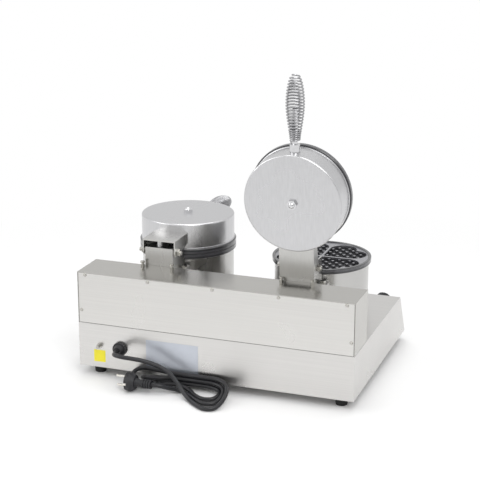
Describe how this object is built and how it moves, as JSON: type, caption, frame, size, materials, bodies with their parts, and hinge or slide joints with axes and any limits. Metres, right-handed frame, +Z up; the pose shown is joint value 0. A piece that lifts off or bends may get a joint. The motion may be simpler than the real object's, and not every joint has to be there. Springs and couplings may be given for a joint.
{
  "type": "twin heart waffle maker",
  "caption": "Countertop waffle iron with two round heads side by side, hinged lids with spring handles, heart-shaped baking plates and a sloping control panel.",
  "frame": {"origin": "middle of the machine's footprint, cord and plug left out, on the surface that it stands on", "axes": "+X to the operator's right along the width, +Y to the rear face with the cable gland, +Z up"},
  "size_m": [0.56, 0.5731, 0.6171],
  "materials": {
    "brushed_sheet": "brushed lengthwise, satin",
    "satin_cover": "fine satin",
    "satin_bracket": "satin, brushed",
    "bright_steel": "polished",
    "spring_wire": "polished wire",
    "handle_core": "turned steel",
    "cast_iron": "dark, semi-matt coating",
    "heater_casting": "as cast",
    "mineral_wool": "fibrous",
    "foot_rubber": "matt",
    "cord_rubber": "semi-matt",
    "black_moulding": "fine matt",
    "control_case": "moulded",
    "lamp_lens": "clear tint",
    "plate_foil": "satin, bare",
    "label_yellow": "plain film",
    "plated_pin": "nickel plated"
  },
  "bodies": {
    "base": {"base_shell": "brushed_sheet", "bottom_plate": "brushed_sheet", "bottom_screws": "bright_steel", "rubber_feet": "foot_rubber", "rear_housing": "brushed_sheet", "panel_frame": "brushed_sheet", "rear_panel": "brushed_sheet", "rear_panel_screws": "bright_steel", "rating_plate": "plate_foil", "yellow_label": "label_yellow", "ground_terminal": "bright_steel", "cable_gland": "black_moulding", "gland_nut": "black_moulding", "terminal_block": "control_case", "hinge_posts": "brushed_sheet", "bracket_bolts": "bright_steel", "lower_insulation": "mineral_wool", "stop_screws": "bright_steel", "thermostats": "control_case", "timers": "control_case", "switch_frames": "black_moulding", "pilot_lamps": "lamp_lens", "cord_lead": "cord_rubber", "cord_hank": "cord_rubber", "cord_tail": "cord_rubber", "plug_body": "black_moulding", "plug_pins": "plated_pin", "plug_earth_clips": "plated_pin", "drum_right": "satin_cover", "lower_plate_right": "cast_iron", "lower_heater_right": "heater_casting", "hinge_bracket_right": "satin_bracket", "hinge_bolt_right": "bright_steel", "drum_left": "satin_cover", "lower_plate_left": "cast_iron", "lower_heater_left": "heater_casting", "hinge_bracket_left": "satin_bracket", "hinge_bolt_left": "bright_steel"},
    "lid_right": {"lid_cover_right": "satin_cover", "upper_plate_right": "cast_iron", "upper_heater_right": "heater_casting", "upper_insulation_right": "mineral_wool", "cover_nut_right": "bright_steel", "hinge_arm_right": "satin_bracket", "handle_rod_right": "handle_core", "handle_spring_right": "spring_wire"},
    "thermostat_knob_right": {"thermostat_knob_right": "black_moulding"},
    "timer_knob_right": {"timer_knob_right": "black_moulding"},
    "rocker_right": {"rocker_right": "black_moulding"},
    "lid_left": {"lid_cover_left": "satin_cover", "upper_plate_left": "cast_iron", "upper_heater_left": "heater_casting", "upper_insulation_left": "mineral_wool", "cover_nut_left": "bright_steel", "hinge_arm_left": "satin_bracket", "handle_rod_left": "handle_core", "handle_spring_left": "spring_wire"},
    "thermostat_knob_left": {"thermostat_knob_left": "black_moulding"},
    "timer_knob_left": {"timer_knob_left": "black_moulding"},
    "rocker_left": {"rocker_left": "black_moulding"}
  },
  "joints": [
    {"name": "lid_right_hinge", "type": "hinge", "parent": "base", "child": "lid_right", "pos_m": [0.1434, 0.1344, 0.2401], "axis": [-1, 0, 0], "range_deg": [0, 96.6]},
    {"name": "thermostat_right_turn", "type": "hinge", "parent": "base", "child": "thermostat_knob_right", "pos_m": [0.238, -0.1379, 0.08559], "axis": [0, -0.8744, 0.4852], "range_deg": [-270, 0]},
    {"name": "timer_right_turn", "type": "hinge", "parent": "base", "child": "timer_knob_right", "pos_m": [0.0488, -0.1379, 0.08559], "axis": [0, -0.8744, 0.4852], "range_deg": [-300, 0]},
    {"name": "rocker_right_tilt", "type": "hinge", "parent": "base", "child": "rocker_right", "pos_m": [0.1434, -0.13895, 0.08617], "axis": [1, 0, 0], "range_deg": [0, 16]},
    {"name": "lid_left_hinge", "type": "hinge", "parent": "base", "child": "lid_left", "pos_m": [-0.1434, 0.1344, 0.2401], "axis": [-1, 0, 0], "range_deg": [-96.6, 0]},
    {"name": "thermostat_left_turn", "type": "hinge", "parent": "base", "child": "thermostat_knob_left", "pos_m": [-0.238, -0.1379, 0.08559], "axis": [0, -0.8744, 0.4852], "range_deg": [-270, 0]},
    {"name": "timer_left_turn", "type": "hinge", "parent": "base", "child": "timer_knob_left", "pos_m": [-0.0488, -0.1379, 0.08559], "axis": [0, -0.8744, 0.4852], "range_deg": [-300, 0]},
    {"name": "rocker_left_tilt", "type": "hinge", "parent": "base", "child": "rocker_left", "pos_m": [-0.1434, -0.13895, 0.08617], "axis": [1, 0, 0], "range_deg": [0, 16]}
  ]
}
